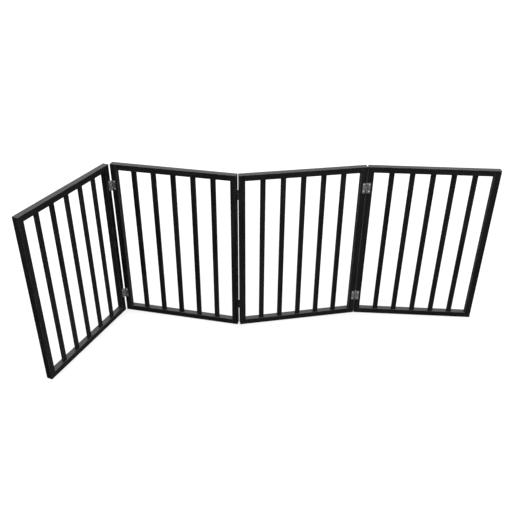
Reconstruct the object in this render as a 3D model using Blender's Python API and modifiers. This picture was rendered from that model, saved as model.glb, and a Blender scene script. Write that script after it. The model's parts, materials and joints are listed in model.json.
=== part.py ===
"""Folding pet gate: four slatted wooden panels, joined in a zigzag by steel butt hinges.

Metres, +Z up. The gate stands on Z = 0, with the middle of its footprint at the origin. +X runs along
the gate, and its front faces -Y. Each panel is laid out in its own frame: x from its left end, y from
its front face towards its back, z from the floor.
"""

from math import radians

import bmesh
import bpy
from mathutils import Matrix, Vector

# Panels
HEIGHT = 0.6096
PANEL_WIDTH = 0.4501
THICKNESS = 0.022
STILE_WIDTH = 0.021
TOP_RAIL_HEIGHT = 0.021
BOTTOM_RAIL_HEIGHT = 0.021
SLAT_COUNT = 5
SLAT_WIDTH = 0.0183
SLAT_THICKNESS = 0.007
SLAT_SETBACK = 0.006
WOOD_ROUNDING = 0.0009
SLAT_ROUNDING = 0.0007

# Joinery
CLEARANCE = 0.0003
SHOULDER_GAP = 0.0002
TENON_LENGTH = 0.011
TENON_THICKNESS = 0.008
TENON_SHOULDER = 0.004
SLAT_SEAT = 0.008

# The zigzag: each panel's turn about Z in degrees, and each junction's hinge face and gap between panels
PANEL_TURNS = (67.2, -12.4, 11.1, -3.6)
HINGE_FACES = ("front", "back", "front")
END_GAPS = (0.0004, 0.0004, 0.0008)
ROOT_PANEL = 2

# Hinges. A leaf's plate is a little shorter than its barrel, and its neck a little taller than its knuckle.
# Reaches along a leaf are measured from the pin's axis.
HINGE_HEIGHT = 0.038
LOWER_HINGE_HEIGHT = 0.0815
UPPER_HINGE_HEIGHT = 0.531
AXIS_OFFSET = 0.00265
LEAF_HEIGHT = 0.0376
LEAF_SEAT = 0.0003
LEAF_THICKNESS = 0.0011
LEAF_REACH = 0.014
LEAF_CORNER = 0.0015
KNUCKLE_RADIUS = 0.00245
KNUCKLE_GAP = 0.0003
KNUCKLE_LENGTH = (HINGE_HEIGHT - 2 * KNUCKLE_GAP) / 3
NECK_EXTRA = 0.0001
NOTCH_GAP = 0.001
BORE_RADIUS = 0.00135
PIN_RADIUS = 0.00125
PIN_HEAD_RADIUS = 0.002
PIN_HEAD_HEIGHT = 0.0007
PIN_HEAD_GAP = 0.0001

# Screws: their places on a leaf, from the pin's axis and from the hinge's middle
SCREW_REACH = 0.0098
SCREW_SPREAD = 0.0128
SCREW_HOLE_RADIUS = 0.0016
PILOT_RADIUS = 0.0012
PILOT_DEPTH = 0.012

ROUND_SIDES = 20
HOLE_SIDES = 12
PILOT_SIDES = 8
OVERCUT = 0.0005


def clear_scene():
    for obj in list(bpy.data.objects):
        bpy.data.objects.remove(obj)


def new_collection(name):
    collection = bpy.data.collections.new(name)
    bpy.context.scene.collection.children.link(collection)
    return collection


def new_material(name, colour, metallic, roughness):
    material = bpy.data.materials.new(name)
    material.use_nodes = True
    shader = material.node_tree.nodes["Principled BSDF"]
    shader.inputs["Base Color"].default_value = (*colour, 1.0)
    shader.inputs["Metallic"].default_value = metallic
    shader.inputs["Roughness"].default_value = roughness
    return material


def box(low, high):
    """A closed box between two corners."""
    low = Vector(low)
    high = Vector(high)
    shape = bmesh.new()
    bmesh.ops.create_cube(shape, size=1.0, matrix=Matrix.LocRotScale((low + high) / 2, None, high - low))
    return shape


def cone(start, end, start_radius, end_radius, sides):
    """A closed cone or cylinder along the line between two points."""
    start = Vector(start)
    end = Vector(end)
    along = end - start
    shape = bmesh.new()
    bmesh.ops.create_cone(
        shape,
        cap_ends=True,
        segments=sides,
        radius1=start_radius,
        radius2=end_radius,
        depth=along.length,
        matrix=Matrix.LocRotScale((start + end) / 2, along.to_track_quat("Z", "Y"), None),
    )
    return shape


def upright(radius, low, high):
    """A closed cylinder about the z axis."""
    return cone((0.0, 0.0, low), (0.0, 0.0, high), radius, radius, ROUND_SIDES)


def as_shape(mesh):
    shape = bmesh.new()
    shape.from_mesh(mesh)
    return shape


def helper_object(shape):
    mesh = bpy.data.meshes.new("helper")
    shape.to_mesh(mesh)
    shape.free()
    helper = bpy.data.objects.new("helper", mesh)
    bpy.context.scene.collection.objects.link(helper)
    return helper


def carved(name, base, rounding=0.0, segments=2, joined=(), cut=()):
    """The mesh of a base with its edges rounded, some shapes joined to it, and then others cut from it."""
    body = helper_object(base)
    if rounding:
        bevel = body.modifiers.new("rounding", "BEVEL")
        bevel.width = rounding
        bevel.segments = segments
    tools = []
    for operation, shapes in (("UNION", joined), ("DIFFERENCE", cut)):
        for shape in shapes:
            tool = helper_object(shape)
            boolean = body.modifiers.new(operation.lower(), "BOOLEAN")
            boolean.operation = operation
            boolean.object = tool
            tools.append(tool)
    graph = bpy.context.evaluated_depsgraph_get()
    mesh = bpy.data.meshes.new_from_object(body.evaluated_get(graph))
    mesh.name = name
    for helper in (body, *tools):
        bpy.data.objects.remove(helper)
    mesh.shade_smooth()
    mesh.set_sharp_from_angle(angle=radians(35))
    return mesh


def grown(low, high, margin):
    """The corners of a box that is larger by a margin on every side."""
    spread = Vector((margin, margin, margin))
    return Vector(low) - spread, Vector(high) + spread


# Panel layout

RAILS = {
    "bottom": (0.0, BOTTOM_RAIL_HEIGHT),
    "top": (HEIGHT - TOP_RAIL_HEIGHT, HEIGHT),
}
RAIL_START = STILE_WIDTH + SHOULDER_GAP
RAIL_END = PANEL_WIDTH - RAIL_START
SLAT_GAP = (PANEL_WIDTH - 2 * STILE_WIDTH - SLAT_COUNT * SLAT_WIDTH) / (SLAT_COUNT + 1)
SLAT_LOW = BOTTOM_RAIL_HEIGHT - SLAT_SEAT
SLAT_HIGH = HEIGHT - TOP_RAIL_HEIGHT + SLAT_SEAT
HINGE_MIDDLES = {"lower": LOWER_HINGE_HEIGHT, "upper": UPPER_HINGE_HEIGHT}


def slat_corners(number):
    """A slat's lowest and highest corners in its panel."""
    x = STILE_WIDTH + SLAT_GAP + number * (SLAT_WIDTH + SLAT_GAP)
    low = (x, SLAT_SETBACK, SLAT_LOW)
    high = (x + SLAT_WIDTH, SLAT_SETBACK + SLAT_THICKNESS, SLAT_HIGH)
    return low, high


def tenon_corners(rail, end):
    """The corners of the tenon at a rail's left or right end, in its panel."""
    bottom, top = RAILS[rail]
    y = (THICKNESS - TENON_THICKNESS) / 2
    tip = RAIL_START - TENON_LENGTH if end == "left" else RAIL_END + TENON_LENGTH
    root = RAIL_START + TENON_LENGTH if end == "left" else RAIL_END - TENON_LENGTH
    low = (min(tip, root), y, bottom + TENON_SHOULDER)
    high = (max(tip, root), y + TENON_THICKNESS, top - TENON_SHOULDER)
    return low, high


def pilot_hole(end, junction, z):
    """The hole that a hinge screw bites into, from the face of the stile that the hinge is on."""
    inset = SCREW_REACH - END_GAPS[junction - 1] / 2
    x = inset if end == "left" else PANEL_WIDTH - inset
    if HINGE_FACES[junction - 1] == "front":
        mouth, bottom = -OVERCUT, PILOT_DEPTH
    else:
        mouth, bottom = THICKNESS + OVERCUT, THICKNESS - PILOT_DEPTH
    return cone((x, mouth, z), (x, bottom, z), PILOT_RADIUS, PILOT_RADIUS, PILOT_SIDES)


def stile_mesh(end, junction):
    """A full-height stile with a mortise for each rail and, at a junction, its screws' pilot holes."""
    x = 0.0 if end == "left" else PANEL_WIDTH - STILE_WIDTH
    cut = [box(*grown(*tenon_corners(rail, end), CLEARANCE)) for rail in RAILS]
    if junction:
        for middle in HINGE_MIDDLES.values():
            for z in (middle - SCREW_SPREAD, middle + SCREW_SPREAD):
                cut.append(pilot_hole(end, junction, z))
    base = box((x, 0.0, 0.0), (x + STILE_WIDTH, THICKNESS, HEIGHT))
    return carved("stile", base, rounding=WOOD_ROUNDING, cut=cut)


def rail_mesh(rail):
    """A rail between the stiles, with a tenon at each end and a mortise for each slat."""
    bottom, top = RAILS[rail]
    return carved(
        f"{rail}_rail",
        box((RAIL_START, 0.0, bottom), (RAIL_END, THICKNESS, top)),
        rounding=WOOD_ROUNDING,
        joined=[box(*tenon_corners(rail, end)) for end in ("left", "right")],
        cut=[box(*grown(*slat_corners(number), CLEARANCE)) for number in range(SLAT_COUNT)],
    )


def slat_mesh():
    """The first slat. The others are copies of it, moved along."""
    return carved("slat", box(*slat_corners(0)), rounding=SLAT_ROUNDING, segments=1)


# Hinges. A leaf reaches along +x from the pin's axis and lies on wood on its +y side; z = 0 is its middle.

PLATE_INNER = AXIS_OFFSET - LEAF_SEAT
PLATE_OUTER = PLATE_INNER - LEAF_THICKNESS
BARREL_END = HINGE_HEIGHT / 2
MIDDLE_END = KNUCKLE_LENGTH / 2
MIDDLE_NECK = MIDDLE_END + NECK_EXTRA
END_NECK = MIDDLE_END + KNUCKLE_GAP - NECK_EXTRA
KNUCKLES = {
    "middle": ((-MIDDLE_END, MIDDLE_END),),
    "ends": ((-BARREL_END, KNUCKLE_LENGTH - BARREL_END), (BARREL_END - KNUCKLE_LENGTH, BARREL_END)),
}
NOTCHES = {
    "middle": ((-BARREL_END, -MIDDLE_NECK), (MIDDLE_NECK, BARREL_END)),
    "ends": ((-END_NECK, END_NECK),),
}


def leaf_plate():
    """The leaf's flat plate, with its two outer corners rounded."""
    half = LEAF_HEIGHT / 2
    shape = box((0.0, PLATE_OUTER, -half), (LEAF_REACH, PLATE_INNER, half))
    corners = []
    for edge in shape.edges:
        first, second = edge.verts
        if min(first.co.x, second.co.x) > LEAF_REACH / 2 and first.co.z * second.co.z > 0:
            corners.append(edge)
    bmesh.ops.bevel(shape, geom=corners, offset=LEAF_CORNER, segments=3, profile=0.5, affect="EDGES")
    return shape


def countersink(z):
    """A 90-degree countersunk hole right through the plate."""
    start = (SCREW_REACH, PLATE_OUTER - OVERCUT, z)
    end = (SCREW_REACH, PLATE_INNER + OVERCUT, z)
    wide = SCREW_HOLE_RADIUS + LEAF_THICKNESS + OVERCUT
    narrow = SCREW_HOLE_RADIUS - OVERCUT
    return cone(start, end, wide, narrow, HOLE_SIDES)


def leaf_mesh(kind):
    """A leaf with its knuckle in the middle or with a knuckle at each end."""
    barrels = [upright(KNUCKLE_RADIUS, low, high) for low, high in KNUCKLES[kind]]
    reach = KNUCKLE_RADIUS + NOTCH_GAP
    notches = [box((-reach, 0.0, low), (reach, reach, high)) for low, high in NOTCHES[kind]]
    bore = upright(BORE_RADIUS, -BARREL_END - OVERCUT, BARREL_END + OVERCUT)
    holes = [countersink(z) for z in (-SCREW_SPREAD, SCREW_SPREAD)]
    plate = carved("plate", leaf_plate(), cut=[*notches, *holes])
    return carved(f"leaf_{kind}", as_shape(plate), joined=barrels, cut=[bore])


def pin_mesh():
    """A hinge pin, with a tapered head at each end."""
    neck = BARREL_END + PIN_HEAD_GAP
    heads = []
    for side in (-1, 1):
        start = (0.0, 0.0, side * neck)
        end = (0.0, 0.0, side * (neck + PIN_HEAD_HEIGHT))
        heads.append(cone(start, end, PIN_HEAD_RADIUS, PIN_HEAD_RADIUS / 2, ROUND_SIDES))
    tip = neck + PIN_HEAD_HEIGHT / 2
    return carved("pin", upright(PIN_RADIUS, -tip, tip), joined=heads)


# Placing


def axis_in_panel(junction, end):
    """A junction's axis in the frame of the panel whose left or right end is at it."""
    half_gap = END_GAPS[junction - 1] / 2
    x = -half_gap if end == "left" else PANEL_WIDTH + half_gap
    y = -AXIS_OFFSET if HINGE_FACES[junction - 1] == "front" else THICKNESS + AXIS_OFFSET
    return Vector((x, y, 0.0))


def footprint_middle(places):
    """The middle of the panels' bounding box, seen from above."""
    corners = [
        place @ Vector((x, y, 0.0))
        for place in places
        for x in (WOOD_ROUNDING, PANEL_WIDTH - WOOD_ROUNDING)
        for y in (WOOD_ROUNDING, THICKNESS - WOOD_ROUNDING)
    ]
    low = [min(corner[side] for corner in corners) for side in range(3)]
    high = [max(corner[side] for corner in corners) for side in range(3)]
    return (Vector(low) + Vector(high)) / 2


def panel_places():
    """Each panel's frame in the world: the panels are chained end to end through their hinge axes."""
    turns = [Matrix.Rotation(radians(turn), 4, "Z") for turn in PANEL_TURNS]
    places = turns[:1]
    for junction, turn in enumerate(turns[1:], start=1):
        axis = places[-1] @ axis_in_panel(junction, "right")
        places.append(Matrix.Translation(axis - turn @ axis_in_panel(junction, "left")) @ turn)
    shift = Matrix.Translation(-footprint_middle(places))
    return [shift @ place for place in places]


class Panel:
    """A panel's empty, on the axis that the panel turns about, and what places its pieces."""

    def __init__(self, number, place, collection):
        end = "right" if number < ROOT_PANEL else "left"
        junction = number if number < ROOT_PANEL else number - 1
        self.number = number
        self.collection = collection
        self.pivot = axis_in_panel(junction, end)
        self.empty = bpy.data.objects.new(f"panel_{number}", None)
        self.empty.matrix_world = place @ Matrix.Translation(self.pivot)
        collection.objects.link(self.empty)

    def add(self, name, mesh, material, at=(0.0, 0.0, 0.0), turn=None):
        """Adds a piece to the panel, at a place in the panel's frame."""
        piece = bpy.data.objects.new(name, mesh)
        piece.parent = self.empty
        piece.matrix_local = Matrix.LocRotScale(Vector(at) - self.pivot, turn, None)
        if not mesh.materials:
            mesh.materials.append(material)
        self.collection.objects.link(piece)


def junction_at(number, end):
    """The junction at a panel's end, or None at the gate's free ends."""
    junction = number - 1 if end == "left" else number
    return junction if 1 <= junction <= len(HINGE_FACES) else None


def add_woodwork(panel, meshes, materials):
    for end in ("left", "right"):
        mesh = stile_mesh(end, junction_at(panel.number, end))
        panel.add(f"panel_{panel.number}_stile_{end}", mesh, materials["stile"])
    for rail in RAILS:
        panel.add(f"panel_{panel.number}_rail_{rail}", meshes[rail], materials["rail"])
    for slat in range(SLAT_COUNT):
        at = (slat * (SLAT_WIDTH + SLAT_GAP), 0.0, 0.0)
        panel.add(f"panel_{panel.number}_slat_{slat + 1}", meshes["slat"], materials["slat"], at)


def leaf_turn(face, end):
    """Turns a leaf from its own frame to a panel's left or right end and to its front or back face."""
    if face == "front":
        turn = Matrix.Identity(3) if end == "left" else Matrix.Rotation(radians(180), 3, "Y")
    else:
        turn = Matrix.Rotation(radians(180), 3, "X" if end == "left" else "Z")
    return turn.to_quaternion()


def add_hinges(junction, left_panel, right_panel, meshes, materials):
    """The two hinges between neighbouring panels. Each pin is held by the leaf with the end knuckles."""
    face = HINGE_FACES[junction - 1]
    for level, z in HINGE_MIDDLES.items():
        name = f"hinge_{junction}_{junction + 1}_{level}"
        at_right_end = axis_in_panel(junction, "right") + Vector((0.0, 0.0, z))
        at_left_end = axis_in_panel(junction, "left") + Vector((0.0, 0.0, z))
        left_panel.add(
            f"{name}_leaf_left",
            meshes["leaf_middle"],
            materials["leaf"],
            at_right_end,
            leaf_turn(face, "right"),
        )
        right_panel.add(
            f"{name}_leaf_right",
            meshes["leaf_ends"],
            materials["leaf"],
            at_left_end,
            leaf_turn(face, "left"),
        )
        right_panel.add(f"{name}_pin", meshes["pin"], materials["pin"], at_left_end)


def main():
    clear_scene()
    collection = new_collection("pet_gate")
    materials = {
        "stile": new_material("stile_paint", (0.012, 0.012, 0.012), 0.0, 0.42),
        "rail": new_material("rail_paint", (0.012, 0.012, 0.012), 0.0, 0.40),
        "slat": new_material("slat_paint", (0.013, 0.013, 0.013), 0.0, 0.45),
        "leaf": new_material("leaf_steel", (0.45, 0.45, 0.43), 1.0, 0.38),
        "pin": new_material("pin_steel", (0.50, 0.50, 0.48), 1.0, 0.30),
    }
    meshes = {
        "top": rail_mesh("top"),
        "bottom": rail_mesh("bottom"),
        "slat": slat_mesh(),
        "leaf_middle": leaf_mesh("middle"),
        "leaf_ends": leaf_mesh("ends"),
        "pin": pin_mesh(),
    }
    panels = []
    for number, place in enumerate(panel_places(), start=1):
        panel = Panel(number, place, collection)
        add_woodwork(panel, meshes, materials)
        panels.append(panel)
    for junction, (left_panel, right_panel) in enumerate(zip(panels, panels[1:]), start=1):
        add_hinges(junction, left_panel, right_panel, meshes, materials)


main()
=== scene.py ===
"""The looks of a folding pet gate: black painted slatted panels joined by plated steel butt hinges.

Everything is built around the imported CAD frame, in metres. Each wooden piece is made in the frame of its
panel (x along the panel, y towards its back, z up), and each hinge piece in the frame of its hinge (x away
from the pin along the leaf, y into the wood, z along the pin).
"""

import json
import random
from math import cos, pi, radians, sin, sqrt

import bmesh
import bpy
from mathutils import Matrix, Vector

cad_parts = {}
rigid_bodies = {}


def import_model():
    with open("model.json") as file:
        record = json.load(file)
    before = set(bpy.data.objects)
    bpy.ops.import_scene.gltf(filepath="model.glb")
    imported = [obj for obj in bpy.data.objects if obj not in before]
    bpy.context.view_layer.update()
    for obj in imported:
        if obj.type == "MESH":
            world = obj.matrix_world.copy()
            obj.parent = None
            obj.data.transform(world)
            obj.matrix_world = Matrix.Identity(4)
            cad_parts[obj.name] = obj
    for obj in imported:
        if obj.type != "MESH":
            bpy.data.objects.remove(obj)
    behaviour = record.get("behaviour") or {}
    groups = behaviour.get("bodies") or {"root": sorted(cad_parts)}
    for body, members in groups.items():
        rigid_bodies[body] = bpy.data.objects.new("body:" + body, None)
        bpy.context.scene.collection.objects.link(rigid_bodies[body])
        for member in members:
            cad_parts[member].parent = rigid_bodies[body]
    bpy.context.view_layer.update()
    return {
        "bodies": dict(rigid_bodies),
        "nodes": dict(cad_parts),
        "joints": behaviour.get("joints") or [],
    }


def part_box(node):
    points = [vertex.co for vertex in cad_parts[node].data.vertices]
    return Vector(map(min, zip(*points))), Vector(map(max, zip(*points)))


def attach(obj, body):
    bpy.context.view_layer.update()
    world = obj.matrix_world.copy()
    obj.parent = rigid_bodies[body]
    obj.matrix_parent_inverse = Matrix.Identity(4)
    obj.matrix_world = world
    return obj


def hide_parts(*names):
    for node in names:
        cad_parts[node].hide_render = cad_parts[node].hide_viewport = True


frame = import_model()

# Woodwork. Each slat runs on into both rails
STILE_ROUNDING = 0.001
RAIL_ROUNDING = 0.001
SLAT_ROUNDING = 0.0009
WOOD_ROUNDING_STEPS = 4
SLAT_SINK = 0.004

# Hinges: leaves, each curled from one strip
LEAF_THICKNESS = 0.0011
LEAF_ROUNDING = 0.00014
LEAF_ROUNDING_STEPS = 2
LEAF_CORNER = 0.0015
LEAF_CORNER_STEPS = 6
CURL_END = radians(298)
CURL_STEPS = 28
KNUCKLE_GAP = 0.0003
NOTCH_GAP = 0.001
SCREW_FROM_AXIS = 0.0098
SCREW_SPREAD = 0.0128
SCREW_HOLE_RADIUS = 0.0016

# Hinges: pins. A head's straight rim is a share of its height, and the rest is its dome
PIN_HALF = 0.019
PIN_RADIUS = 0.00125
PIN_HEAD_RADIUS = 0.002
PIN_HEAD_HEIGHT = 0.0007
PIN_HEAD_GAP = 0.00008
PIN_HEAD_RIM = 0.25
PIN_DOME_STEPS = 6

# Screws: the head's dome rises from the leaf's outer face, z = 0, and the shank runs along -z. The crest and
# the foot of a thread are shares of its pitch
HEAD_RADIUS = 0.00272
HEAD_DOME = 0.0008
HEAD_DOME_STEPS = 8
HEAD_RIM = 0.00012
HEAD_DEPTH = 0.0014
SHANK_RADIUS = 0.0011
SHANK_LENGTH = 0.012
THREAD_RADIUS = 0.0014
THREAD_PITCH = 0.0011
THREAD_CREST = 0.4
THREAD_FOOT = 0.8
SCREW_SIDES = 32

# A screw's cross recess: it is cut from above the head, and narrows to shares of its length and width
RECESS_LENGTH = 0.0034
RECESS_WIDTH = 0.0009
RECESS_DEPTH = 0.0014
RECESS_TOP = 0.002
RECESS_END_LENGTH = 0.55
RECESS_END_WIDTH = 0.8

# Meshes. The grain on each is shifted at random, so that no two lengths of wood are alike
ROUND_SIDES = 48
OVERCUT = 0.0006
SHARP_ANGLE = radians(40)
SMOOTH_ANGLE = radians(30)
SCREW_SMOOTH_ANGLE = radians(35)
MERGE_DISTANCE = 1e-6
BISECT_DISTANCE = 1e-7
GRAIN_SHIFT = 3.0
RANDOM_SEED = 11

# The numbers of the colour sockets on a mix node
MIX_COLOUR_INPUTS = (6, 7)
MIX_COLOUR_OUTPUT = 2

# The finishes' patterns: how finely each varies across the grain and along it, and the noise it is made of
WOOD_FIGURE = {"across": 300.0, "along": 4.5, "detail": 2.0, "distortion": 1.2}
WOOD_STREAKS = {"across": 900.0, "along": 9.0, "detail": 5.0, "roughness": 0.65, "distortion": 0.5}
WOOD_PORES = {"across": 2600.0, "along": 70.0, "detail": 2.0}
PAINT_SPRAY = {"across": 1300.0, "along": 1300.0, "detail": 2.0}
PAINT_CLOUDS = {"across": 30.0, "along": 9.0, "detail": 3.0}
PAINT_RUBBING = {"across": 120.0, "along": 35.0, "detail": 4.0, "roughness": 0.65}
STEEL_LINES = {"across": 3200.0, "along": 240.0, "detail": 2.0}
STEEL_CLOUDS = {"across": 420.0, "along": 420.0, "detail": 4.0, "roughness": 0.6}
STEEL_SPECKS = {"across": 1700.0, "along": 1700.0, "detail": 2.0}
FLOOR_CLOUDS = {"across": 3.0, "along": 3.0, "detail": 2.0}

# Paint: the shares of its patterns in its colour, the ranges of them that show, its colours and roughness
FIGURE_IN_WOOD = 0.35
WOOD_IN_TONE = 0.75
PAINT_TONES = (0.40, 0.60)
FRAME_PAINT = {"deep": (0.0006, 0.0006, 0.0006), "light": (0.0062, 0.0060, 0.0057)}
SLAT_PAINT = {"deep": (0.0007, 0.0007, 0.0007), "light": (0.0062, 0.0061, 0.0058)}
RUBBED = (0.42, 0.62)
RUBBED_EDGE = (0.2, 0.6)
WORN_COLOUR = (0.050, 0.044, 0.037)
SHEEN_TONES = (0.38, 0.62)
PAINT_ROUGHNESS = (0.30, 0.44)
SPRAY_TONES = (0.3, 0.7)
SPRAY_ROUGHNESS = (-0.04, 0.04)
PAINT_IOR = 1.28

# Steel: the same for its patterns, and each piece's colours and roughness
LINES_IN_TONE = 0.4
STEEL_TONES = (0.36, 0.64)
LEAF_STEEL = {"dark": (0.43, 0.43, 0.415), "bright": (0.66, 0.66, 0.635), "roughness": (0.22, 0.34)}
PIN_STEEL = {"dark": (0.50, 0.50, 0.48), "bright": (0.70, 0.70, 0.68), "roughness": (0.26, 0.38)}
SCREW_STEEL = {"dark": (0.74, 0.74, 0.72), "bright": (0.88, 0.88, 0.86), "roughness": (0.24, 0.36)}
STAIN_TONES = (0.62, 0.76)
STAIN_STRENGTH = (0.0, 0.25)
STAIN_COLOUR = (0.20, 0.19, 0.17)
STEEL_SHEEN_TONES = (0.32, 0.68)

# Reliefs: the strength and the depth of each
FIGURE_RELIEF = (0.5, 0.00030)
STREAK_RELIEF = (0.6, 0.00020)
PORE_RELIEF = (0.5, 0.00006)
SPRAY_RELIEF = (0.4, 0.00004)
LINE_RELIEF = (0.22, 0.00003)
SPECK_RELIEF = (0.15, 0.00003)

# The camera, measured from the back hinge axis between the two middle panels at floor level
CAMERA_OFFSET = Vector((0.0631, -1.9316, 1.4132))
CAMERA_TILT = radians(31.124)
CAMERA_ROLL = radians(0.432)
CAMERA_LENS_MM = 41.83
SENSOR_MM = 36.0

# The floor: it glows a little, so that the gate's shadow on it stays faint
FLOOR_HALF_SIDE = 400.0
FLOOR_GLOW = 0.65
FLOOR_PALE = (0.122, 0.122, 0.122)
FLOOR_PALEST = (0.126, 0.126, 0.126)
FLOOR_TONES = (0.3, 0.7)
FLOOR_ROUGHNESS = 0.9
WHITE = (1.0, 1.0, 1.0, 1.0)

# The studio's light, by the height of its direction: at the horizon and overhead. Only reflections look
# below the horizon, where a pale floor would be, and one side of it is in shade
SKY_HORIZON = 1.0
HORIZON_HEIGHTS = (-0.07, -0.02)
SKY_OVERHEAD = 6.0
OVERHEAD_HEIGHTS = (0.52, 0.66)
BELOW_LIT = 0.21
BELOW_SHADED = 0.02
SHADED_SIDE = Vector((-0.90, -0.44, 0.0)).normalized()
SHADE_EDGE = (0.38, 0.70)

random.seed(RANDOM_SEED)


# Mesh helpers


def new_object(name, shape, place=None, smooth_angle=SMOOTH_ANGLE):
    """An object of a bmesh, in the place given, shaded smooth up to an angle."""
    mesh = bpy.data.meshes.new(name)
    shape.to_mesh(mesh)
    shape.free()
    mesh.shade_smooth()
    mesh.set_sharp_from_angle(angle=smooth_angle)
    piece = bpy.data.objects.new(name, mesh)
    bpy.context.scene.collection.objects.link(piece)
    if place is not None:
        piece.matrix_world = place
    return piece


def box_shape(low, high):
    low = Vector(low)
    high = Vector(high)
    shape = bmesh.new()
    bmesh.ops.create_cube(shape, size=1.0, matrix=Matrix.LocRotScale((low + high) / 2, None, high - low))
    return shape


def turned_shape(profile, sides=ROUND_SIDES):
    """A closed shape from (radius, height) points, turned about the z axis. The first and last are on it."""
    shape = bmesh.new()
    points = [shape.verts.new((radius, 0.0, height)) for radius, height in profile]
    edges = [shape.edges.new(pair) for pair in zip(points, points[1:])]
    bmesh.ops.spin(
        shape,
        geom=points + edges,
        cent=(0, 0, 0),
        axis=(0, 0, 1),
        angle=2 * pi,
        steps=sides,
        use_merge=True,
    )
    bmesh.ops.remove_doubles(shape, verts=shape.verts, dist=MERGE_DISTANCE)
    bmesh.ops.recalc_face_normals(shape, faces=shape.faces)
    return shape


def boolean_cut(shape, cutters):
    """A shape with others cut from it, one after another."""
    body = new_object("cutting", shape)
    tools = []
    for cutter in cutters:
        tool = new_object("cutter", cutter)
        modifier = body.modifiers.new("cut", "BOOLEAN")
        modifier.operation = "DIFFERENCE"
        modifier.object = tool
        tools.append(tool)
    graph = bpy.context.evaluated_depsgraph_get()
    cut = bmesh.new()
    cut.from_mesh(body.evaluated_get(graph).to_mesh())
    for helper in (body, *tools):
        bpy.data.objects.remove(helper)
    return cut


def soften(shape, width, steps):
    """Rounds every sharp edge."""
    sharp = []
    for edge in shape.edges:
        if edge.is_manifold and edge.calc_face_angle(0.0) > SHARP_ANGLE:
            sharp.append(edge)
    bmesh.ops.bevel(shape, geom=sharp, offset=width, segments=steps, profile=0.5, affect="EDGES")
    return shape


# Materials


class Nodes:
    """The node tree of a new material or world, with short ways to add what is needed here."""

    def __init__(self, owner):
        owner.use_nodes = True
        self.owner = owner
        self.tree = owner.node_tree

    def link(self, output, target):
        self.tree.links.new(output, target)

    def attribute(self, name, output="Fac"):
        node = self.tree.nodes.new("ShaderNodeAttribute")
        node.attribute_name = name
        return node.outputs[output]

    def place(self, output):
        return self.tree.nodes.new("ShaderNodeTexCoord").outputs[output]

    def pattern(self, place, across, along, detail, roughness=0.5, distortion=0.0):
        """Noise over a place, with one fineness across its z axis and another along it."""
        stretch = self.tree.nodes.new("ShaderNodeMapping")
        stretch.inputs["Scale"].default_value = (across, across, along)
        self.link(place, stretch.inputs["Vector"])
        node = self.tree.nodes.new("ShaderNodeTexNoise")
        node.inputs["Scale"].default_value = 1.0
        node.inputs["Detail"].default_value = detail
        node.inputs["Roughness"].default_value = roughness
        node.inputs["Distortion"].default_value = distortion
        self.link(stretch.outputs["Vector"], node.inputs["Vector"])
        return node.outputs["Fac"]

    def spread(self, value, source, target=(0.0, 1.0)):
        """A value moved from one range to another, and held inside it."""
        node = self.tree.nodes.new("ShaderNodeMapRange")
        for socket, number in zip(("From Min", "From Max", "To Min", "To Max"), (*source, *target)):
            node.inputs[socket].default_value = number
        self.link(value, node.inputs["Value"])
        return node.outputs["Result"]

    def combine(self, operation, first, second):
        node = self.tree.nodes.new("ShaderNodeMath")
        node.operation = operation
        for socket, value in zip(node.inputs, (first, second)):
            if isinstance(value, float):
                socket.default_value = value
            else:
                self.link(value, socket)
        return node.outputs["Value"]

    def blend(self, share, first, second):
        """A share of the first value with the rest of the second."""
        first = self.combine("MULTIPLY", first, share)
        second = self.combine("MULTIPLY", second, 1.0 - share)
        return self.combine("ADD", first, second)

    def mix(self, share, first, second):
        """A colour between two others. The node's sockets share their names, so the colours' have numbers."""
        node = self.tree.nodes.new("ShaderNodeMix")
        node.data_type = "RGBA"
        self.link(share, node.inputs["Factor"])
        for number, colour in zip(MIX_COLOUR_INPUTS, (first, second)):
            if isinstance(colour, tuple):
                node.inputs[number].default_value = (*colour, 1.0)
            else:
                self.link(colour, node.inputs[number])
        return node.outputs[MIX_COLOUR_OUTPUT]

    def bump(self, height, strength, distance, normal=None):
        node = self.tree.nodes.new("ShaderNodeBump")
        node.inputs["Strength"].default_value = strength
        node.inputs["Distance"].default_value = distance
        self.link(height, node.inputs["Height"])
        if normal is not None:
            self.link(normal, node.inputs["Normal"])
        return node.outputs["Normal"]

    def towards(self, direction, side):
        """How nearly a direction points to a side: 1 straight at it, 0 square to it."""
        node = self.tree.nodes.new("ShaderNodeVectorMath")
        node.operation = "DOT_PRODUCT"
        node.inputs[1].default_value = side
        self.link(direction, node.inputs[0])
        return node.outputs["Value"]

    def height(self, direction):
        node = self.tree.nodes.new("ShaderNodeSeparateXYZ")
        self.link(direction, node.inputs["Vector"])
        return node.outputs["Z"]

    def finish(self, shader, **sockets):
        """Sets or links the shader's own sockets."""
        for name, value in sockets.items():
            socket = self.tree.nodes[shader].inputs[name.replace("_", " ")]
            if isinstance(value, (float, tuple)):
                socket.default_value = value
            else:
                self.link(value, socket)
        return self.owner


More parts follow.
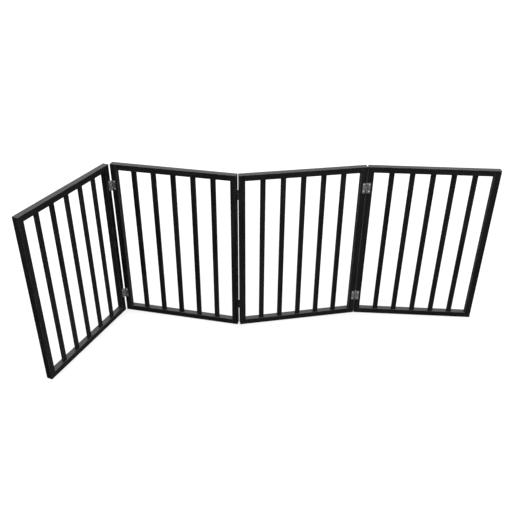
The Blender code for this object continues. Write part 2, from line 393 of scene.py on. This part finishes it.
def paint_material(name, deep, light):
    """Satin black paint over wood: its grain along the piece, pores, a spray texture, and worn edges."""
    nodes = Nodes(bpy.data.materials.new(name))
    grain = nodes.attribute("grain", "Vector")
    figure = nodes.pattern(grain, **WOOD_FIGURE)
    streaks = nodes.pattern(grain, **WOOD_STREAKS)
    pores = nodes.pattern(grain, **WOOD_PORES)
    spray = nodes.pattern(grain, **PAINT_SPRAY)
    clouds = nodes.pattern(grain, **PAINT_CLOUDS)
    rubbing = nodes.pattern(grain, **PAINT_RUBBING)
    wood = nodes.blend(FIGURE_IN_WOOD, figure, streaks)
    tone = nodes.blend(WOOD_IN_TONE, wood, clouds)
    paint = nodes.mix(nodes.spread(tone, PAINT_TONES), deep, light)
    edge = nodes.spread(nodes.attribute("edge"), RUBBED_EDGE)
    worn = nodes.combine("MULTIPLY", edge, nodes.spread(rubbing, RUBBED))
    colour = nodes.mix(worn, paint, WORN_COLOUR)
    dullness = nodes.spread(wood, SHEEN_TONES, PAINT_ROUGHNESS)
    roughness = nodes.combine("ADD", dullness, nodes.spread(spray, SPRAY_TONES, SPRAY_ROUGHNESS))
    relief = nodes.bump(figure, *FIGURE_RELIEF)
    relief = nodes.bump(streaks, *STREAK_RELIEF, relief)
    relief = nodes.bump(pores, *PORE_RELIEF, relief)
    relief = nodes.bump(spray, *SPRAY_RELIEF, relief)
    return nodes.finish(
        "Principled BSDF", Base_Color=colour, Roughness=roughness, Normal=relief, IOR=PAINT_IOR
    )


def steel_material(name, dark, bright, roughness):
    """Zinc-plated steel: fine rolling lines along the piece, dull clouds, and darker stains."""
    nodes = Nodes(bpy.data.materials.new(name))
    grain = nodes.attribute("grain", "Vector")
    lines = nodes.pattern(grain, **STEEL_LINES)
    clouds = nodes.pattern(grain, **STEEL_CLOUDS)
    specks = nodes.pattern(grain, **STEEL_SPECKS)
    tone = nodes.blend(LINES_IN_TONE, lines, clouds)
    colour = nodes.mix(nodes.spread(tone, STEEL_TONES), dark, bright)
    colour = nodes.mix(nodes.spread(specks, STAIN_TONES, STAIN_STRENGTH), colour, STAIN_COLOUR)
    dullness = nodes.spread(clouds, STEEL_SHEEN_TONES, roughness)
    relief = nodes.bump(lines, *LINE_RELIEF)
    relief = nodes.bump(specks, *SPECK_RELIEF, relief)
    return nodes.finish(
        "Principled BSDF", Base_Color=colour, Roughness=dullness, Normal=relief, Metallic=1.0
    )


def stile_material():
    return paint_material("stile_black_paint", **FRAME_PAINT)


def rail_material():
    return paint_material("rail_black_paint", **FRAME_PAINT)


def slat_material():
    return paint_material("slat_black_paint", **SLAT_PAINT)


def leaf_material():
    return steel_material("leaf_zinc_plate", **LEAF_STEEL)


def pin_material():
    return steel_material("pin_zinc_plate", **PIN_STEEL)


def screw_material():
    return steel_material("screw_zinc_plate", **SCREW_STEEL)


MATERIALS = {
    "stile": stile_material(),
    "rail": rail_material(),
    "slat": slat_material(),
    "leaf": leaf_material(),
    "pin": pin_material(),
    "screw": screw_material(),
}


# Finishing a piece


def set_grain(piece, along, origin):
    """Stores each point's place in the piece's own grain: z runs along the wood or the rolling direction."""
    shift = Vector([random.uniform(-GRAIN_SHIFT, GRAIN_SHIFT) for _ in range(3)])
    turn = Vector(along).rotation_difference(Vector((0.0, 0.0, 1.0))).to_matrix()
    grain = piece.data.attributes.new("grain", "FLOAT_VECTOR", "POINT")
    for point, vertex in zip(grain.data, piece.data.vertices):
        point.vector = turn @ (vertex.co - origin) + shift


def set_edge(piece, low, high, rounding):
    """Stores how near each point is to an edge of its box: 0 on the flats, towards 1 on the roundings."""
    edge = piece.data.attributes.new("edge", "FLOAT", "POINT")
    for point, vertex in zip(edge.data, piece.data.vertices):
        depths = sorted(min(vertex.co[side] - low[side], high[side] - vertex.co[side]) for side in range(3))
        point.value = max(0.0, 1.0 - depths[1] / rounding)


def add_piece(piece, body, material, node=None):
    """Gives a piece its material if it has none, hangs it on its CAD body, and hides the CAD node it stands
    in for.
    """
    if not piece.data.materials:
        piece.data.materials.append(material)
    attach(piece, body)
    if node:
        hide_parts(node)


# Panels


def middle(node):
    low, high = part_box(node)
    return (low + high) / 2


def panel_frame(body):
    """A panel's frame, from the middles of its two stiles: its origin is under the left one."""
    left = middle(f"{body}_stile_left")
    along = middle(f"{body}_stile_right") - left
    along.normalize()
    up = Vector((0.0, 0.0, 1.0))
    place = Matrix((along, up.cross(along), up)).transposed().to_4x4()
    place.translation = (left.x, left.y, 0.0)
    return place


def local_box(node, place):
    """The lowest and highest corners of a CAD node in another frame."""
    to_local = place.inverted()
    points = [to_local @ vertex.co for vertex in frame["nodes"][node].data.vertices]
    low = Vector([min(point[side] for point in points) for side in range(3)])
    high = Vector([max(point[side] for point in points) for side in range(3)])
    return low, high


def timber(name, body, place, low, high, along, rounding, kind):
    """A planed, painted length of wood with rounded edges, in place of the CAD node of the same name."""
    shape = soften(box_shape(low, high), rounding, WOOD_ROUNDING_STEPS)
    piece = new_object(f"{name}_painted", shape, place)
    flats = piece.modifiers.new("flat_faces", "WEIGHTED_NORMAL")
    flats.keep_sharp = True
    set_grain(piece, along, low)
    set_edge(piece, low, high, rounding)
    add_piece(piece, body, MATERIALS[kind], name)


def add_panel(body):
    """The stiles, rails and slats of a panel. Gives the panel's frame."""
    place = panel_frame(body)
    lengthways = (1.0, 0.0, 0.0)
    upright = (0.0, 0.0, 1.0)
    stiles = [local_box(f"{body}_stile_{end}", place) for end in ("left", "right")]
    for end, (low, high) in zip(("left", "right"), stiles):
        timber(f"{body}_stile_{end}", body, place, low, high, upright, STILE_ROUNDING, "stile")
    rails = {}
    for level in ("bottom", "top"):
        low, high = local_box(f"{body}_rail_{level}", place)
        low.x = stiles[0][1].x
        high.x = stiles[1][0].x
        rails[level] = (low, high)
        timber(f"{body}_rail_{level}", body, place, low, high, lengthways, RAIL_ROUNDING, "rail")
    for slat in sorted(node for node in frame["nodes"] if node.startswith(f"{body}_slat_")):
        low, high = local_box(slat, place)
        low.z = rails["bottom"][1].z - SLAT_SINK
        high.z = rails["top"][0].z + SLAT_SINK
        timber(slat, body, place, low, high, upright, SLAT_ROUNDING, "slat")
    return place


# Hinges


def leaf_frame(panel, axis, z):
    """The frame of a leaf on a panel: its origin is on the pin's axis, at the hinge's middle."""
    local = panel.inverted() @ Vector((axis.x, axis.y, 0.0))
    away = panel.col[0].to_3d() * (-1.0 if local.x > 0.0 else 1.0)
    into_wood = panel.col[1].to_3d() * (1.0 if local.y < 0.0 else -1.0)
    place = Matrix((away, into_wood, away.cross(into_wood))).transposed().to_4x4()
    place.translation = (axis.x, axis.y, z)
    return place


def knuckle_spans(kind, half):
    """The z ranges of a leaf's own knuckles, and those that it leaves to the other leaf."""
    length = (2 * half - 2 * KNUCKLE_GAP) / 3
    middle_span = [(-length / 2, length / 2)]
    end_spans = [(-half, length - half), (half - length, half)]
    return (middle_span, end_spans) if kind == "middle" else (end_spans, middle_span)


def round_outer_corners(strip, far):
    """Rounds the two corners at a strip's far edge, which are the edges through its thickness there."""
    corners = []
    for edge in strip.edges:
        first, second = (vertex.co for vertex in edge.verts)
        if max(first.x, second.x) < far / 2 and abs(first.y - second.y) > LEAF_THICKNESS / 2:
            corners.append(edge)
    bmesh.ops.bevel(
        strip, geom=corners, offset=LEAF_CORNER, segments=LEAF_CORNER_STEPS, profile=0.5, affect="EDGES"
    )


def notch_cutters(kind, half, start, end):
    """What cuts a strip away where the other leaf's knuckles go, with a gap all round them."""
    cutters = []
    for low, high in knuckle_spans(kind, half)[1]:
        low -= OVERCUT if low <= -half else KNUCKLE_GAP
        high += OVERCUT if high >= half else KNUCKLE_GAP
        cutters.append(box_shape((start, -OVERCUT, low), (end, LEAF_THICKNESS + OVERCUT, high)))
    return cutters


def countersink_cutter(x, z):
    """What cuts a 90-degree countersunk hole through a strip."""
    place = Matrix.Translation((x, LEAF_THICKNESS / 2, z)) @ Matrix.Rotation(radians(-90), 4, "X")
    sink = bmesh.new()
    bmesh.ops.create_cone(
        sink,
        cap_ends=True,
        segments=ROUND_SIDES,
        radius1=SCREW_HOLE_RADIUS - OVERCUT,
        radius2=SCREW_HOLE_RADIUS + LEAF_THICKNESS + OVERCUT,
        depth=LEAF_THICKNESS + 2 * OVERCUT,
        matrix=place,
    )
    return sink


def leaf_strip(kind, half, far, outer):
    """A leaf before it is curled: x along the strip from its far edge, y from its wood side outwards."""
    length = far + (outer - LEAF_THICKNESS / 2) * CURL_END
    shape = box_shape((0.0, 0.0, -half), (length, LEAF_THICKNESS, half))
    round_outer_corners(shape, far)
    cutters = notch_cutters(kind, half, far - outer - NOTCH_GAP, length + OVERCUT)
    for z in (-SCREW_SPREAD, SCREW_SPREAD):
        cutters.append(countersink_cutter(far - SCREW_FROM_AXIS, z))
    return soften(boolean_cut(shape, cutters), LEAF_ROUNDING, LEAF_ROUNDING_STEPS)


def curled_leaf(name, kind, half, far, outer):
    """A leaf: a strip of sheet steel, flat on the wood and curled round the pin."""
    shape = leaf_strip(kind, half, far, outer)
    neutral = outer - LEAF_THICKNESS / 2
    for step in range(CURL_STEPS):
        x = far + neutral * CURL_END * step / CURL_STEPS
        bmesh.ops.bisect_plane(
            shape,
            geom=[*shape.verts, *shape.edges, *shape.faces],
            dist=BISECT_DISTANCE,
            plane_co=(x, 0, 0),
            plane_no=(1, 0, 0),
        )
    for vertex in shape.verts:
        along, height, z = vertex.co
        turn = max(0.0, along - far) / neutral
        radius = outer - height
        flat = max(0.0, far - along)
        vertex.co = (flat - sin(turn) * radius, cos(turn) * radius, z)
    bmesh.ops.recalc_face_normals(shape, faces=shape.faces)
    return new_object(name, shape)


def cross_recess():
    """The two tapered bars that cut a screw's cross recess."""
    cutters = []
    for turn in (0, 90):
        low = (-RECESS_LENGTH / 2, -RECESS_WIDTH / 2, -RECESS_DEPTH)
        high = (RECESS_LENGTH / 2, RECESS_WIDTH / 2, RECESS_TOP)
        bar = box_shape(low, high)
        for vertex in bar.verts:
            if vertex.co.z < 0:
                vertex.co.x *= RECESS_END_LENGTH
                vertex.co.y *= RECESS_END_WIDTH
        bmesh.ops.rotate(bar, verts=bar.verts, matrix=Matrix.Rotation(radians(turn), 3, "Z"))
        cutters.append(bar)
    return cutters


def screw_profile():
    """The outline of a raised countersunk wood screw, from the top of its head to its tip."""
    dome_radius = (HEAD_RADIUS**2 + HEAD_DOME**2) / (2 * HEAD_DOME)
    points = []
    for step in range(HEAD_DOME_STEPS + 1):
        radius = HEAD_RADIUS * step / HEAD_DOME_STEPS
        points.append((radius, sqrt(dome_radius**2 - radius**2) - dome_radius + HEAD_DOME))
    points.append((HEAD_RADIUS, -HEAD_RIM))
    points.append((SHANK_RADIUS, -HEAD_DEPTH))
    height = -HEAD_DEPTH - THREAD_PITCH
    while height > -SHANK_LENGTH + 2 * THREAD_PITCH:
        points.append((SHANK_RADIUS, height))
        points.append((THREAD_RADIUS, height - THREAD_PITCH * THREAD_CREST))
        points.append((SHANK_RADIUS, height - THREAD_PITCH * THREAD_FOOT))
        height -= THREAD_PITCH
    points.append((0.0, -SHANK_LENGTH))
    return points


def screw_mesh():
    """The mesh that all the screws share."""
    shape = boolean_cut(turned_shape(screw_profile(), SCREW_SIDES), cross_recess())
    piece = new_object("hinge_screw", shape, smooth_angle=SCREW_SMOOTH_ANGLE)
    mesh = piece.data
    set_grain(piece, (0.0, 0.0, 1.0), Vector())
    mesh.materials.append(MATERIALS["screw"])
    bpy.data.objects.remove(piece)
    return mesh


def pin_profile(half):
    """The outline of a hinge pin with a domed head at each end."""
    neck = half + PIN_HEAD_GAP
    top = []
    for step in range(PIN_DOME_STEPS + 1):
        turn = pi / 2 * step / PIN_DOME_STEPS
        height = PIN_HEAD_RIM + (1.0 - PIN_HEAD_RIM) * cos(turn)
        top.append((PIN_HEAD_RADIUS * sin(turn), neck + PIN_HEAD_HEIGHT * height))
    top.append((PIN_HEAD_RADIUS, neck))
    top.append((PIN_RADIUS, neck))
    return top + [(radius, -height) for radius, height in reversed(top)]


def add_leaf(name, body, panel, axis, z, kind, screw):
    """A leaf and its two screws."""
    place = leaf_frame(panel, axis, z)
    low, high = local_box(name, place)
    half = max(high.z, PIN_HALF)
    leaf = curled_leaf(f"{name}_curled", kind, half, high.x, -low.x)
    leaf.matrix_world = place
    set_grain(leaf, (0.0, 0.0, 1.0), Vector())
    add_piece(leaf, body, MATERIALS["leaf"], name)
    outer_face = -low.x - LEAF_THICKNESS
    for side, level in ((-1, "low"), (1, "high")):
        seat = Matrix.Translation((SCREW_FROM_AXIS, outer_face, side * SCREW_SPREAD))
        turn = Matrix.Rotation(radians(90), 4, "X") @ Matrix.Rotation(random.uniform(0, pi / 2), 4, "Z")
        piece = bpy.data.objects.new(f"{name}_screw_{level}", screw)
        bpy.context.scene.collection.objects.link(piece)
        piece.matrix_world = place @ seat @ turn
        add_piece(piece, body, MATERIALS["screw"])


def add_pin(name, body, axis, z, half):
    place = Matrix.Translation((axis.x, axis.y, z))
    piece = new_object(f"{name}_turned", turned_shape(pin_profile(half)), place)
    set_grain(piece, (0.0, 0.0, 1.0), Vector())
    add_piece(piece, body, MATERIALS["pin"], name)


def add_hinges(joint, panels, screw):
    """The upper and lower hinge of a junction, with all their pieces."""
    left, right = sorted((joint["parent"], joint["child"]))
    axis = Vector(joint["pos_m"])
    stem = f"hinge_{left[-1]}_{right[-1]}"
    for level in ("lower", "upper"):
        name = f"{stem}_{level}"
        z = middle(f"{name}_pin").z
        add_leaf(f"{name}_leaf_left", left, panels[left], axis, z, "middle", screw)
        add_leaf(f"{name}_leaf_right", right, panels[right], axis, z, "ends", screw)
        add_pin(f"{name}_pin", right, axis, z, PIN_HALF)


# Stage


def floor_material():
    """Plain pale, with clouds that hardly show."""
    nodes = Nodes(bpy.data.materials.new("floor_white"))
    clouds = nodes.pattern(nodes.place("Object"), **FLOOR_CLOUDS)
    colour = nodes.mix(nodes.spread(clouds, FLOOR_TONES), FLOOR_PALE, FLOOR_PALEST)
    return nodes.finish(
        "Principled BSDF",
        Base_Color=colour,
        Roughness=FLOOR_ROUGHNESS,
        Specular_IOR_Level=0.0,
        Emission_Color=WHITE,
        Emission_Strength=FLOOR_GLOW,
    )


def add_floor():
    shape = bmesh.new()
    bmesh.ops.create_grid(shape, x_segments=1, y_segments=1, size=FLOOR_HALF_SIDE)
    floor = new_object("floor", shape)
    floor.data.materials.append(floor_material())
    floor.visible_glossy = False


def add_world():
    """A soft studio: bright overhead, white at the horizon and dim below it."""
    nodes = Nodes(bpy.data.worlds.new("studio"))
    direction = nodes.place("Generated")
    height = nodes.height(direction)
    horizon = nodes.spread(height, HORIZON_HEIGHTS, (0.0, SKY_HORIZON))
    overhead = nodes.spread(height, OVERHEAD_HEIGHTS, (0.0, SKY_OVERHEAD - SKY_HORIZON))
    below = nodes.spread(nodes.towards(direction, SHADED_SIDE), SHADE_EDGE, (BELOW_LIT, BELOW_SHADED))
    light = nodes.combine("ADD", nodes.combine("MAXIMUM", horizon, below), overhead)
    bpy.context.scene.world = nodes.finish("Background", Color=WHITE, Strength=light)


def add_camera(hinge_axis):
    data = bpy.data.cameras.new("camera")
    data.lens = CAMERA_LENS_MM
    data.sensor_width = SENSOR_MM
    data.sensor_fit = "AUTO"
    data.clip_end = 2 * FLOOR_HALF_SIDE
    camera = bpy.data.objects.new("camera", data)
    bpy.context.scene.collection.objects.link(camera)
    turn = Matrix.Rotation(pi / 2 - CAMERA_TILT, 4, "X") @ Matrix.Rotation(CAMERA_ROLL, 4, "Z")
    place = Vector((hinge_axis.x, hinge_axis.y, 0.0)) + CAMERA_OFFSET
    camera.matrix_world = Matrix.Translation(place) @ turn
    bpy.context.scene.camera = camera


# The gate

gate_screw = screw_mesh()
panel_frames = {body: add_panel(body) for body in sorted(frame["bodies"])}
for joint in frame["joints"]:
    add_hinges(joint, panel_frames, gate_screw)

middle_joint = next(joint for joint in frame["joints"] if joint["name"] == "fold_2_3")
add_floor()
add_world()
add_camera(Vector(middle_joint["pos_m"]))
bpy.context.scene.view_settings.view_transform = "Standard"
